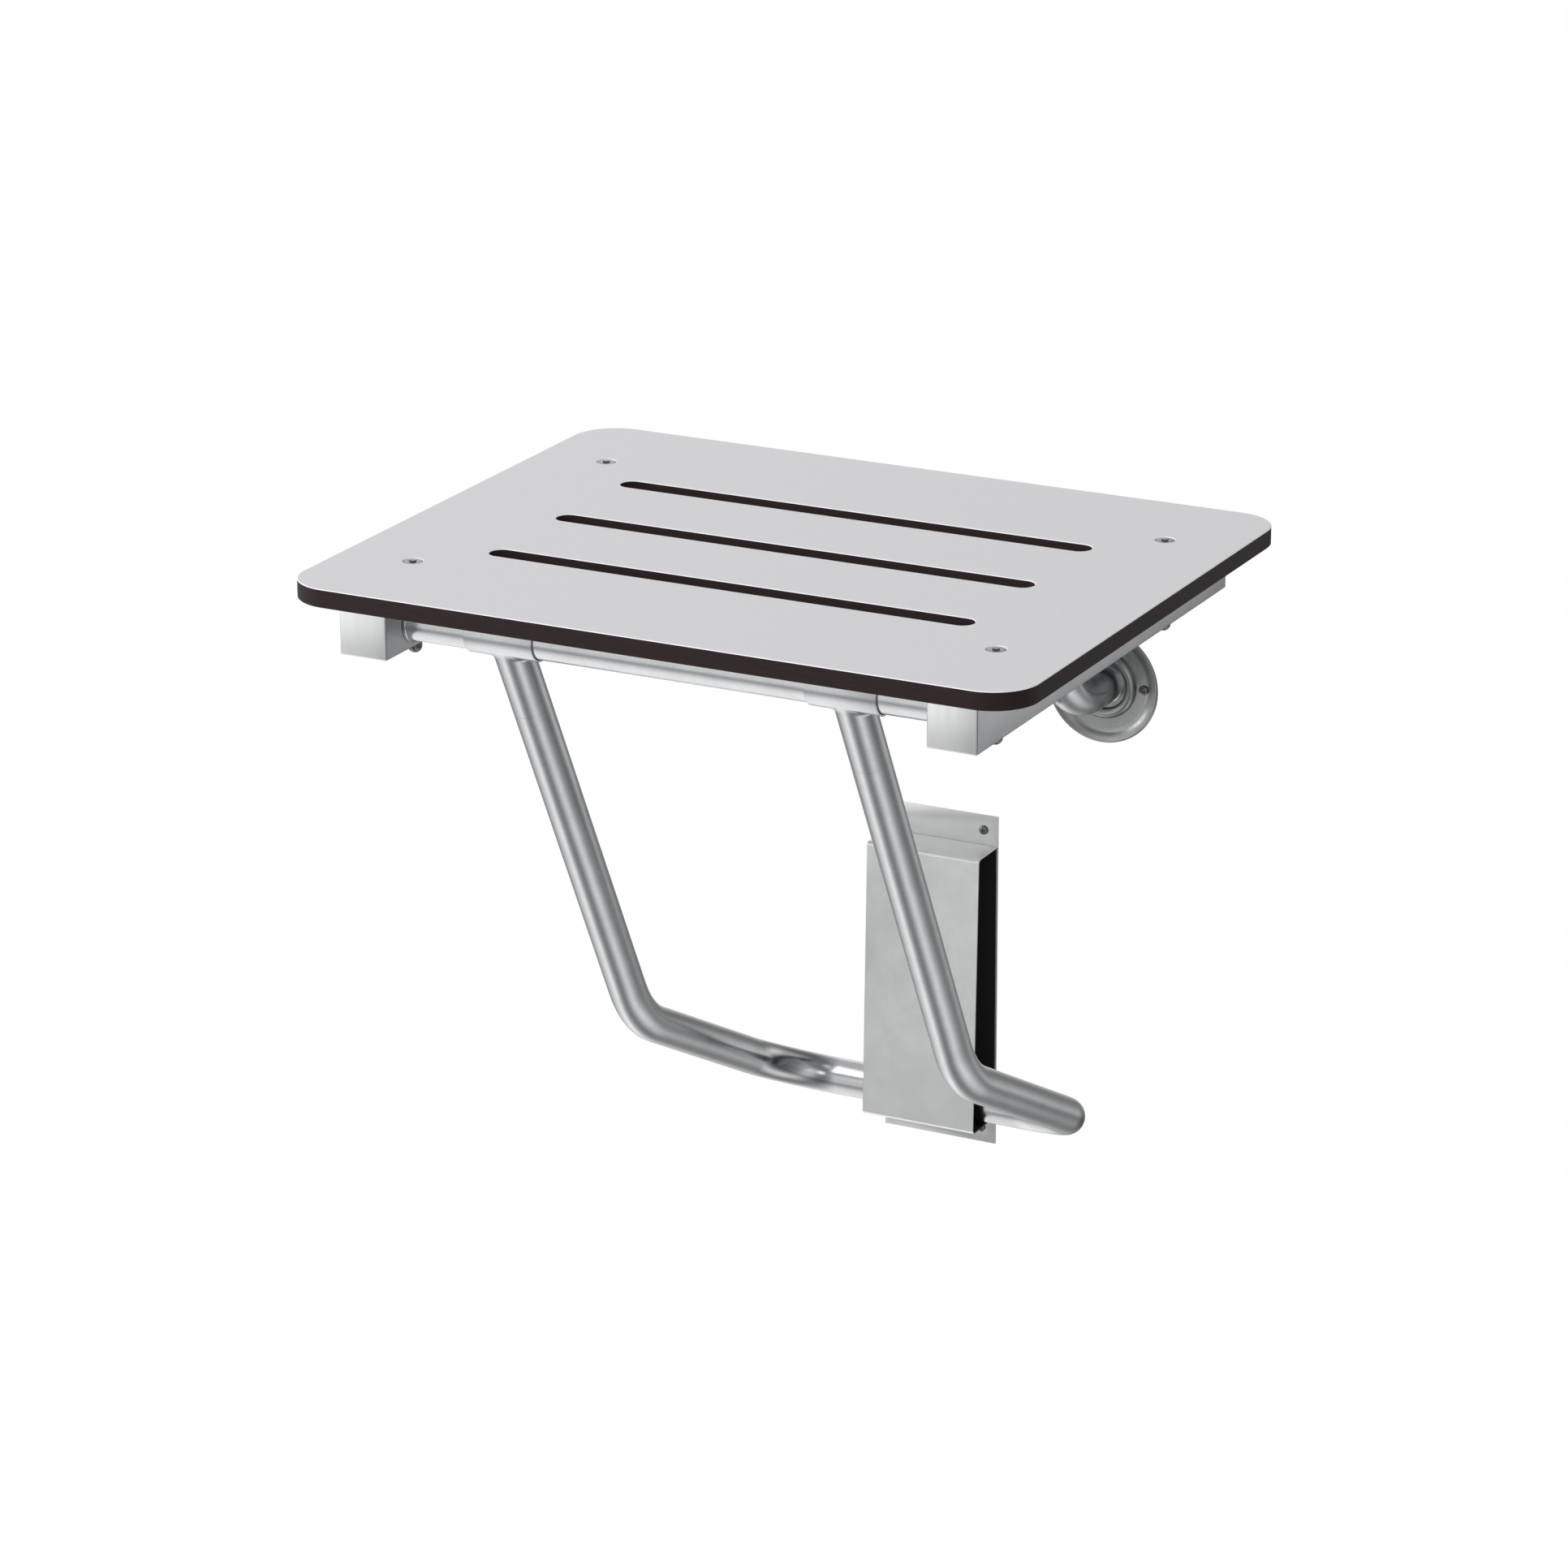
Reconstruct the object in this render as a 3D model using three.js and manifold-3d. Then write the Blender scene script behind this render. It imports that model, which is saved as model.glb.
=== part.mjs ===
// Wall-mounted folding shower seat, in millimetres.
// X is to the right seen from the room, -Y points into the room, Z is up, and the wall is the plane Y = 0.
// The seat turns up about the rear cross tube, and the leg frame's rung slides up inside a wall guide.
import * as THREE from 'three';
import { mergeVertices } from 'three/addons/utils/BufferGeometryUtils.js';
import Module from 'manifold-3d';

const wasm = await Module();
wasm.setup();

const GAP = 0.3; // running and assembly gap between neighbours

// ---------------------------------------------------------------- driving sizes
const SEAT = { width: 500, depth: 405, thick: 12, top: 359, front: -426, corner: 30, chamfer: 0.5 };
SEAT.bottom = SEAT.top - SEAT.thick;
SEAT.middle = SEAT.front + SEAT.depth / 2;
const SLOT = { length: 334, width: 16, pitch: 85.5, count: 3 };
const RAIL = { centre: 200.4, width: 33, height: 33.5, wall: 2, front: -410, back: -38, cap: 2 };
RAIL.top = SEAT.bottom - GAP;
RAIL.bottom = RAIL.top - RAIL.height;
const TUBE = { radius: 12.5, bore: 10.5 };
const SLEEVE = { bore: TUBE.radius + GAP, radius: 13.9, length: 48 };
const PIVOT = { y: -81, z: 330.5 }; // rear cross tube, where the seat folds
const FRONT_HINGE = { y: -376, z: 330.5 }; // front cross tube, where the legs turn
const LEG_X = 117;
const LEG = { kneeY: -216.8, kneeZ: 22.2, kneeBend: 90, rungBend: 50, stub: 60 };
const RUNG = { y: -15.7, z: -83.2 };
const GLIDE = { length: 60, thick: 0.8 };
const POST = { z: 222.8, elbow: 60 };
const FLANGE = { radius: 39.5, rim: 4.7, floorOuter: 32.2, floorInner: 23.3, sheet: 1.5, bead: 5.4 };
const FLANGE_SCREW_RADIUS = 28.5;
const GUIDE = { width: 83.2, height: 236, plate: 1.5, sheet: 1.2, top: 97, bottom: -98.4 };
GUIDE.topDepth = 31;
GUIDE.bottomDepth = 37;
const GUIDE_SCREW = { x: 31, z: 107.5 };
const PAN_SCREW = { head: 3.15, shank: 2, height: 1.9, clearance: 2.3 };
const SEAT_SCREW = { x: 200, front: -348.7, back: -98.5, head: 6, shank: 3, sink: 3.4, socket: 2 };
const WASHER = { radius: 6, thick: 1.6 };
const CAP_NUT = { flats: 10, hex: 5, height: 12, bore: 3.3, depth: 9.5 };

// ---------------------------------------------------------------- materials
const steel = (roughness) => new THREE.MeshStandardMaterial({ color: 0xb9bbbd, roughness, metalness: 1 });
const brushed = steel(0.34);
const satin = steel(0.42);
const bright = steel(0.22);
const laminate = new THREE.MeshStandardMaterial({ color: 0xcfcfd1, roughness: 0.55, metalness: 0 });
const nylon = new THREE.MeshStandardMaterial({ color: 0x1d1d1f, roughness: 0.6, metalness: 0 });

const model = new THREE.Group();

function add(name, geometry, material) {
  const mesh = new THREE.Mesh(geometry, material);
  mesh.name = name;
  model.add(mesh);
}

// ---------------------------------------------------------------- solids
function toManifold(geometry) {
  const plain = geometry.clone();
  plain.deleteAttribute('normal');
  plain.deleteAttribute('uv');
  const merged = mergeVertices(plain, 1e-4);
  const vertProperties = Float32Array.from(merged.attributes.position.array);
  const triVerts = Uint32Array.from(merged.index.array);
  return new wasm.Manifold(new wasm.Mesh({ numProp: 3, vertProperties, triVerts }));
}

function toGeometry(manifold) {
  const mesh = manifold.getMesh();
  const geometry = new THREE.BufferGeometry();
  geometry.setAttribute('position', new THREE.BufferAttribute(mesh.vertProperties, 3));
  geometry.setIndex(new THREE.BufferAttribute(mesh.triVerts, 1));
  geometry.computeVertexNormals();
  return geometry;
}

const subtract = (body, ...cuts) => toGeometry(cuts.reduce(
  (rest, cut) => rest.subtract(toManifold(cut)), toManifold(body)));
const join = (...bodies) => toGeometry(bodies.map(toManifold).reduce((sum, body) => sum.add(body)));

function box(x0, x1, y0, y1, z0, z1) {
  const geometry = new THREE.BoxGeometry(x1 - x0, y1 - y0, z1 - z0);
  return geometry.translate((x0 + x1) / 2, (y0 + y1) / 2, (z0 + z1) / 2);
}

// A lathe turned about Z: pairs of radius and height, closed on the axis or on itself.
function turned(profile, segments = 24) {
  const points = profile.map(([radius, height]) => new THREE.Vector2(radius, height));
  return new THREE.LatheGeometry(points, segments).rotateX(Math.PI / 2);
}

function ringProfile(inner, outer, low, high) {
  return [[inner, low], [outer, low], [outer, high], [inner, high], [inner, low]];
}

function rodProfile(radius, low, high) {
  return [[0, low], [radius, low], [radius, high], [0, high]];
}

const alongX = (geometry) => geometry.rotateY(Math.PI / 2);
const outOfWall = (geometry) => geometry.rotateX(Math.PI / 2);

function hexPrism(flats, low, high) {
  const prism = new THREE.CylinderGeometry(flats / Math.sqrt(3), flats / Math.sqrt(3), high - low, 6);
  return prism.rotateX(Math.PI / 2).translate(0, 0, (low + high) / 2);
}

// ---------------------------------------------------------------- bent tubes
// A curve that an extrusion samples at chosen stations only: the ends of straights, and along bends.
class StationCurve extends THREE.Curve {
  constructor(stations) {
    super();
    this.stations = stations;
  }

  getPoint(t) {
    return this.stations[Math.round(t * (this.stations.length - 1))].point.clone();
  }

  getPointAt(u) {
    return this.getPoint(u);
  }

  getSpacedPoints() {
    return this.stations.map((station) => station.point.clone());
  }

  getTangentAt(u) {
    return this.stations[Math.round(u * (this.stations.length - 1))].tangent.clone();
  }
}

// Corners with a bend radius each become tangent arcs, one station every few degrees.
function bentPath(corners, stepDegrees = 10) {
  const stations = [];
  const last = corners.length - 1;
  corners.forEach(({ point, bend }, i) => {
    const into = i > 0 ? point.clone().sub(corners[i - 1].point).normalize() : null;
    const out = i < last ? corners[i + 1].point.clone().sub(point).normalize() : null;
    if (!into || !out) {
      stations.push({ point, tangent: into ?? out });
      return;
    }
    const turn = into.angleTo(out);
    const setback = bend * Math.tan(turn / 2);
    const axis = into.clone().cross(out).normalize();
    const start = point.clone().addScaledVector(into, -setback);
    const centre = start.clone().addScaledVector(axis.clone().cross(into), bend);
    const steps = Math.ceil(THREE.MathUtils.radToDeg(turn) / stepDegrees);
    for (let k = 0; k <= steps; k += 1) {
      const angle = (turn * k) / steps;
      stations.push({
        point: start.clone().sub(centre).applyAxisAngle(axis, angle).add(centre),
        tangent: into.clone().applyAxisAngle(axis, angle),
      });
    }
  });
  return new StationCurve(stations);
}

function circlePath(PathClass, radius, segments) {
  const path = new PathClass();
  path.setFromPoints(Array.from({ length: segments }, (_, i) => {
    const angle = (2 * Math.PI * i) / segments;
    return new THREE.Vector2(radius * Math.cos(angle), radius * Math.sin(angle));
  }));
  path.closePath();
  return path;
}

function sweep(curve, radius, bore) {
  const section = circlePath(THREE.Shape, radius, 24);
  if (bore) section.holes.push(circlePath(THREE.Path, bore, 18));
  return new THREE.ExtrudeGeometry(section, {
    extrudePath: curve, steps: curve.stations.length - 1, curveSegments: 1,
  });
}

// ---------------------------------------------------------------- seat
function roundedRectangle(width, height, radius) {
  const [x, y] = [width / 2, height / 2];
  const shape = new THREE.Shape();
  shape.moveTo(-x + radius, -y).lineTo(x - radius, -y).absarc(x - radius, -y + radius, radius, -Math.PI / 2, 0);
  shape.lineTo(x, y - radius).absarc(x - radius, y - radius, radius, 0, Math.PI / 2);
  shape.lineTo(-x + radius, y).absarc(-x + radius, y - radius, radius, Math.PI / 2, Math.PI);
  shape.lineTo(-x, -y + radius).absarc(-x + radius, -y + radius, radius, Math.PI, 1.5 * Math.PI);
  return shape;
}

function slotPath(centreY) {
  const radius = SLOT.width / 2;
  const reach = SLOT.length / 2 - radius;
  const path = new THREE.Path();
  path.moveTo(-reach, centreY - radius).lineTo(reach, centreY - radius);
  path.absarc(reach, centreY, radius, -Math.PI / 2, Math.PI / 2).lineTo(-reach, centreY + radius);
  path.absarc(-reach, centreY, radius, Math.PI / 2, 1.5 * Math.PI);
  return path;
}

const SEAT_SCREW_PLACES = [
  ['front_left', -SEAT_SCREW.x, SEAT_SCREW.front],
  ['front_right', SEAT_SCREW.x, SEAT_SCREW.front],
  ['back_left', -SEAT_SCREW.x, SEAT_SCREW.back],
  ['back_right', SEAT_SCREW.x, SEAT_SCREW.back],
];
const atSeatScrews = (make) => SEAT_SCREW_PLACES.map(([, x, y]) => make().translate(x, y, 0));

function seatPanel() {
  const outline = roundedRectangle(SEAT.width, SEAT.depth, SEAT.corner);
  for (let i = 0; i < SLOT.count; i += 1) {
    outline.holes.push(slotPath((i - (SLOT.count - 1) / 2) * SLOT.pitch));
  }
  const board = new THREE.ExtrudeGeometry(outline, {
    depth: SEAT.thick - 2 * SEAT.chamfer,
    bevelEnabled: true,
    bevelThickness: SEAT.chamfer,
    bevelSize: SEAT.chamfer,
    bevelOffset: -SEAT.chamfer,
    bevelSegments: 1,
    curveSegments: 8,
  }).translate(0, SEAT.middle, SEAT.bottom + SEAT.chamfer);
  const head = SEAT_SCREW.head + GAP;
  const shank = SEAT_SCREW.shank + GAP;
  const countersink = () => turned([
    [0, SEAT.bottom - 1], [shank, SEAT.bottom - 1], [shank, SEAT.top - SEAT_SCREW.sink - GAP],
    [head, SEAT.top - GAP], [head, SEAT.top + 1], [0, SEAT.top + 1],
  ]);
  return subtract(board, ...atSeatScrews(countersink));
}

function rail(side) {
  const x = side * RAIL.centre;
  const [halfOut, halfIn] = [RAIL.width / 2, RAIL.width / 2 - RAIL.wall];
  const [front, back] = [RAIL.front + RAIL.cap + GAP, RAIL.back - RAIL.cap - GAP];
  const outer = box(x - halfOut, x + halfOut, front, back, RAIL.bottom, RAIL.top);
  const hollow = box(x - halfIn, x + halfIn, front - 1, back + 1, RAIL.bottom + RAIL.wall, RAIL.top - RAIL.wall);
  const hole = () => turned(rodProfile(SEAT_SCREW.shank + GAP, RAIL.bottom - 1, RAIL.top + 1), 16);
  return subtract(outer, hollow, ...atSeatScrews(hole));
}

function railCap(side, y) {
  const x = side * RAIL.centre;
  return box(x - RAIL.width / 2, x + RAIL.width / 2, y, y + RAIL.cap, RAIL.bottom, RAIL.top);
}

function crossTube({ y, z }) {
  const half = RAIL.centre - RAIL.width / 2 - GAP;
  return alongX(turned(ringProfile(TUBE.bore, TUBE.radius, -half, half), 32)).translate(0, y, z);
}

// Seat screws are countersunk bolts through the panel and the rail, into cap nuts under the rail.
function seatScrew() {
  const end = RAIL.bottom - WASHER.thick - GAP - CAP_NUT.depth;
  const body = turned([
    [0, end], [SEAT_SCREW.shank, end], [SEAT_SCREW.shank, SEAT.top - SEAT_SCREW.sink],
    [SEAT_SCREW.head, SEAT.top - GAP], [0, SEAT.top - GAP],
  ], 20);
  return subtract(body, hexPrism(2 * SEAT_SCREW.socket, SEAT.top - 2.5, SEAT.top + 1));
}

function washer() {
  const top = RAIL.bottom - GAP / 2;
  return turned(ringProfile(SEAT_SCREW.shank + GAP, WASHER.radius, top - WASHER.thick, top));
}

function capNut() {
  const top = RAIL.bottom - WASHER.thick - GAP;
  const dome = CAP_NUT.flats / 2 - 0.3;
  const low = top - CAP_NUT.height;
  const profile = [[0, low]];
  for (let k = 1; k <= 5; k += 1) {
    const angle = (Math.PI / 2) * (k / 5);
    profile.push([dome * Math.sin(angle), low + dome * (1 - Math.cos(angle))]);
  }
  profile.push([dome, top - CAP_NUT.hex / 2], [0, top - CAP_NUT.hex / 2]);
  const solid = join(turned(profile), hexPrism(CAP_NUT.flats, top - CAP_NUT.hex, top));
  return subtract(solid, turned(rodProfile(CAP_NUT.bore, top - CAP_NUT.depth - GAP, top + 1), 16));
}

// ---------------------------------------------------------------- leg frame
const hinge = (x) => new THREE.Vector3(x, FRONT_HINGE.y, FRONT_HINGE.z);
const knee = (x) => new THREE.Vector3(x, LEG.kneeY, LEG.kneeZ);
const shin = (x) => knee(x).sub(hinge(x)).normalize();
const onLeg = (x, distance) => hinge(x).addScaledVector(shin(x), distance);

function legTube() {
  return sweep(bentPath([-LEG_X, LEG_X].flatMap((x) => {
    const leg = [
      { point: onLeg(x, LEG.stub + GAP) },
      { point: knee(x), bend: LEG.kneeBend },
      { point: new THREE.Vector3(x, RUNG.y, RUNG.z), bend: LEG.rungBend },
    ];
    return x < 0 ? leg : leg.reverse();
  })), TUBE.radius, TUBE.bore);
}

function sleeveAt(x, { y, z }) {
  const [low, high] = [-SLEEVE.length / 2, SLEEVE.length / 2];
  return alongX(turned(ringProfile(SLEEVE.bore, SLEEVE.radius, low, high), 32)).translate(x, y, z);
}

// The front tee sleeves turn on the front cross tube, and each has the top of its leg welded on.
function frontSleeve(x) {
  const straight = (from, to) => bentPath([{ point: onLeg(x, from) }, { point: onLeg(x, to) }]);
  const stub = sweep(straight(TUBE.radius / 3, LEG.stub), TUBE.radius);
  const stubBore = sweep(straight(SLEEVE.radius, LEG.stub + 1), TUBE.bore);
  const bore = alongX(turned(rodProfile(SLEEVE.bore, -SLEEVE.length, SLEEVE.length), 32));
  const tee = join(sleeveAt(x, FRONT_HINGE), stub);
  return subtract(tee, bore.translate(x, FRONT_HINGE.y, FRONT_HINGE.z), stubBore);
}

function rungGlide() {
  const [inner, outer] = [TUBE.radius + GAP, TUBE.radius + GAP + GLIDE.thick];
  const ring = ringProfile(inner, outer, -GLIDE.length / 2, GLIDE.length / 2);
  return alongX(turned(ring, 32)).translate(0, RUNG.y, RUNG.z);
}

// ---------------------------------------------------------------- wall side
// Posts leave the wall through the flanges and turn up to the rear sleeves.
function post(x) {
  const elbow = new THREE.Vector3(x, PIVOT.y, POST.z);
  const tube = sweep(bentPath([
    { point: new THREE.Vector3(x, 0, POST.z) },
    { point: elbow, bend: POST.elbow },
    { point: new THREE.Vector3(x, PIVOT.y, PIVOT.z - 2) },
  ]), TUBE.radius, TUBE.bore);
  const clearance = turned(rodProfile(SLEEVE.radius + GAP, -SLEEVE.length, SLEEVE.length), 32);
  return subtract(tube, alongX(clearance).translate(x, PIVOT.y, PIVOT.z));
}

function flange(side) {
  const { radius, rim, floorOuter, floorInner, sheet, bead } = FLANGE;
  const hole = TUBE.radius + GAP;
  const groove = hole + 3;
  const profile = [[hole, 0], [floorOuter + 1, 0], [radius, rim - sheet], [radius, rim]];
  profile.push([radius - 1, rim], [floorOuter, sheet], [floorInner, sheet]);
  const middle = (floorInner + groove) / 2;
  const reach = (floorInner - groove) / 2;
  for (let k = 1; k < 8; k += 1) {
    const angle = (Math.PI * k) / 8;
    profile.push([middle + reach * Math.cos(angle), sheet + (bead - sheet) * Math.sin(angle)]);
  }
  profile.push([groove, sheet], [groove, 1], [hole, 1], [hole, 0]);
  const disc = turned(profile, 48);
  const holes = [-1, 1].map((end) => turned(rodProfile(PAN_SCREW.clearance, -1, sheet + 2), 16)
    .translate(end * FLANGE_SCREW_RADIUS, 0, 0));
  return outOfWall(subtract(disc, ...holes)).translate(side * LEG_X, 0, POST.z);
}

// Domed wall screws: the shank ends at the wall plane, where its thread enters the wall.
function panScrew(sheet) {
  const { head, shank, height } = PAN_SCREW;
  const seat = sheet + GAP;
  const profile = [[0, 0], [shank, 0], [shank, seat], [head, seat], [head, seat + 0.5]];
  for (let k = 1; k <= 4; k += 1) {
    const angle = (Math.PI / 2) * (k / 4);
    profile.push([head * Math.cos(angle), seat + 0.5 + (height - 0.5) * Math.sin(angle)]);
  }
  profile[profile.length - 1][0] = 0;
  const arm = 0.35;
  const cross = [box(-1.7, 1.7, -arm, arm, seat + 0.9, seat + 3), box(-arm, arm, -1.7, 1.7, seat + 0.9, seat + 3)];
  return outOfWall(subtract(turned(profile, 16), ...cross));
}

function guidePlate() {
  const half = GUIDE.width / 2;
  const holes = [-1, 1].flatMap((x) => [-1, 1].map((z) => outOfWall(
    turned(rodProfile(PAN_SCREW.clearance, -1, GUIDE.plate + 1), 16))
    .translate(x * GUIDE_SCREW.x, 0, z * GUIDE_SCREW.z)));
  return subtract(box(-half, half, -GUIDE.plate, 0, -GUIDE.height / 2, GUIDE.height / 2), ...holes);
}

// The channel is one folded sheet: a step out at the top, a sloping front, and a return that stops the rung.
function guideChannel() {
  const { width, plate, sheet, top, bottom, topDepth, bottomDepth } = GUIDE;
  const back = plate + GAP;
  const outline = new THREE.Shape();
  outline.moveTo(back, top).lineTo(topDepth, top).lineTo(bottomDepth, bottom).lineTo(back, bottom);
  outline.lineTo(back, bottom + sheet).lineTo(bottomDepth - sheet, bottom + sheet);
  outline.lineTo(topDepth - sheet, top - sheet).lineTo(back, top - sheet);
  const sheetMetal = new THREE.ExtrudeGeometry(outline, { depth: width, bevelEnabled: false });
  return sheetMetal.rotateX(Math.PI / 2).rotateZ(-Math.PI / 2).translate(width / 2, 0, 0);
}

// ---------------------------------------------------------------- assembly
const SIDES = [['left', -1], ['right', 1]];
const ENDS = [['low', -1], ['high', 1]];

add('seat_panel', seatPanel(), laminate);
for (const [place, x, y] of SEAT_SCREW_PLACES) {
  add(`seat_screw_${place}`, seatScrew().translate(x, y, 0), bright);
  add(`rail_washer_${place}`, washer().translate(x, y, 0), bright);
  add(`cap_nut_${place}`, capNut().translate(x, y, 0), bright);
}
add('front_cross_tube', crossTube(FRONT_HINGE), brushed);
add('rear_cross_tube', crossTube(PIVOT), brushed);
for (const [name, side] of SIDES) {
  add(`seat_rail_${name}`, rail(side), brushed);
  add(`rail_front_cap_${name}`, railCap(side, RAIL.front), brushed);
  add(`rail_back_cap_${name}`, railCap(side, RAIL.back - RAIL.cap), brushed);
  add(`front_sleeve_${name}`, frontSleeve(side * LEG_X), brushed);
  add(`rear_sleeve_${name}`, sleeveAt(side * LEG_X, PIVOT), brushed);
  add(`wall_post_${name}`, post(side * LEG_X), brushed);
  add(`wall_flange_${name}`, flange(side), satin);
  for (const [end, along] of SIDES) {
    const x = side * LEG_X + along * FLANGE_SCREW_RADIUS;
    add(`flange_screw_${name}_${end}`, panScrew(FLANGE.sheet).translate(x, 0, POST.z), bright);
  }
  for (const [level, up] of ENDS) {
    const screw = panScrew(GUIDE.plate).translate(side * GUIDE_SCREW.x, 0, up * GUIDE_SCREW.z);
    add(`guide_screw_${level}_${name}`, screw, bright);
  }
}
add('leg_tube', legTube(), brushed);
add('rung_glide', rungGlide(), nylon);
add('guide_back_plate', guidePlate(), satin);
add('guide_channel', guideChannel(), satin);

export default model;
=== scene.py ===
"""Wall-mounted folding shower seat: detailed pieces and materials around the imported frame, in metres."""

from math import ceil, cos, pi, radians, sin, sqrt, tan

import bmesh
import bpy
from mathutils import Matrix, Quaternion, Vector


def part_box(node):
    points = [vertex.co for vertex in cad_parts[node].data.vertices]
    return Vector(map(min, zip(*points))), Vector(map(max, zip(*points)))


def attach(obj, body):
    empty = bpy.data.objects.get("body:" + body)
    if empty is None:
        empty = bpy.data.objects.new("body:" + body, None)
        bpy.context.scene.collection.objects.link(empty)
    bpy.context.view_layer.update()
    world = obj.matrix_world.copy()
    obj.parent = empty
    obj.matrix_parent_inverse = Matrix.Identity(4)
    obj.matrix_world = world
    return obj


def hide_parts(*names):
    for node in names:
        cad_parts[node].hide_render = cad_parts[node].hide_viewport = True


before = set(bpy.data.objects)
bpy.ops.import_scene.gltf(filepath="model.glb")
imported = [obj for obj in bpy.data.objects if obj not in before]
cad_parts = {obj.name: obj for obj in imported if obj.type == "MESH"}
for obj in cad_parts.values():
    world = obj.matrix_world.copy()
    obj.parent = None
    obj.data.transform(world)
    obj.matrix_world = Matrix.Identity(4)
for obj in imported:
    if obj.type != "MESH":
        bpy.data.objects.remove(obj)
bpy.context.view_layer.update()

MM = 0.001
X_AXIS, Y_AXIS, Z_AXIS = Vector((1, 0, 0)), Vector((0, 1, 0)), Vector((0, 0, 1))
SIDES = (("left", -1), ("right", 1))
ROUND = 64  # facets round a tube
SMALL_ROUND = 48  # facets round a screw, washer or nut
SHARP_ANGLE = radians(35)
CLEARANCE = 0.3 * MM

# ---------------------------------------------------------------- places taken from the frame
panel_low, panel_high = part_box("seat_panel")
front_tube_low, front_tube_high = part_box("front_cross_tube")
rear_tube_low, rear_tube_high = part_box("rear_cross_tube")
FRONT_HINGE = (front_tube_low + front_tube_high) / 2
PIVOT = (rear_tube_low + rear_tube_high) / 2
TUBE = (front_tube_high.z - front_tube_low.z) / 2
BORE = TUBE - 2 * MM
sleeve_low, sleeve_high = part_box("rear_sleeve_left")
SLEEVE = (sleeve_high.z - sleeve_low.z) / 2
SLEEVE_HALF = (sleeve_high.x - sleeve_low.x) / 2
LEG_X = -(sleeve_low.x + sleeve_high.x) / 2
GLIDE_LOW, GLIDE_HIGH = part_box("rung_glide")
RUNG = (GLIDE_LOW + GLIDE_HIGH) / 2
flange_low, flange_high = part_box("wall_flange_left")
POST_Z = (flange_low.z + flange_high.z) / 2

# ---------------------------------------------------------------- sizes shared with the design
KNEE = Vector((0, -216.8, 22.2)) * MM
KNEE_BEND, RUNG_BEND, POST_BEND = 90 * MM, 50 * MM, 60 * MM
STUB = 60 * MM
PANEL_CORNER = 30 * MM
CHAMFER = 0.5 * MM
SLOT_LENGTH, SLOT_WIDTH, SLOT_PITCH = 334 * MM, 16 * MM, 85.5 * MM
WELD_LEG, TUBE_FILLET = 3.0 * MM, 2.2 * MM


# ---------------------------------------------------------------- materials
class Nodes:
    """A short way to write one material's or world's node tree."""

    def __init__(self, owner):
        owner.use_nodes = True
        self.tree = owner.node_tree

    def add(self, kind, **values):
        node = self.tree.nodes.new(kind)
        for key, value in values.items():
            if hasattr(node, key):
                setattr(node, key, value)
            else:
                node.inputs[key.replace("_", " ")].default_value = value
        return node

    def link(self, source, target):
        self.tree.links.new(source, target)

    def noise(self, coordinates, stretch, scale, detail=3.0, roughness=0.55):
        mapping = self.add("ShaderNodeMapping")
        mapping.inputs["Scale"].default_value = stretch
        self.link(coordinates, mapping.inputs["Vector"])
        noise = self.add("ShaderNodeTexNoise", Scale=scale, Detail=detail, Roughness=roughness)
        self.link(mapping.outputs["Vector"], noise.inputs["Vector"])
        return noise.outputs["Fac"]

    def ramp(self, factor, stops):
        ramp = self.add("ShaderNodeValToRGB")
        elements = ramp.color_ramp.elements
        while len(elements) < len(stops):
            elements.new(0.5)
        for element, (place, colour) in zip(elements, stops):
            element.position = place
            element.color = (*colour, 1) if not isinstance(colour, float) else (colour,) * 3 + (1,)
        self.link(factor, ramp.inputs["Fac"])
        return ramp.outputs["Color"]

    def bump(self, height, strength, distance):
        bump = self.add("ShaderNodeBump", Strength=strength, Distance=distance)
        self.link(height, bump.inputs["Height"])
        return bump.outputs["Normal"]


def new_material(name):
    material = bpy.data.materials.new(name)
    nodes = Nodes(material)
    shader = nodes.tree.nodes["Principled BSDF"]
    return material, nodes, shader


def shade(colour, factor):
    return tuple(channel * factor for channel in colour)


def steel(name, colour, smooth, rough, stretch, grain=900.0, lines=0.25, anisotropic=0.35):
    """Brushed steel: fine lines whose direction comes from stretch, over a slow cloudiness."""
    material, nodes, shader = new_material(name)
    shader.inputs["Metallic"].default_value = 1.0
    shader.inputs["Anisotropic"].default_value = anisotropic
    uv = nodes.add("ShaderNodeTexCoord").outputs["UV"]
    brush = nodes.noise(uv, stretch, grain, detail=4.0, roughness=0.7)
    cloud = nodes.noise(uv, (1, 1, 1), 45.0, detail=3.0)
    colours = nodes.ramp(cloud, [(0.25, shade(colour, 0.93)), (0.75, shade(colour, 1.05))])
    nodes.link(colours, shader.inputs["Base Color"])
    roughness = nodes.add("ShaderNodeMapRange", From_Min=0.25, From_Max=0.75, To_Min=smooth, To_Max=rough)
    nodes.link(brush, roughness.inputs["Value"])
    nodes.link(roughness.outputs["Result"], shader.inputs["Roughness"])
    nodes.link(nodes.bump(brush, lines, 0.03 * MM), shader.inputs["Normal"])
    tangent = nodes.add("ShaderNodeTangent", direction_type="UV_MAP")
    nodes.link(tangent.outputs["Tangent"], shader.inputs["Tangent"])
    return material


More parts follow.
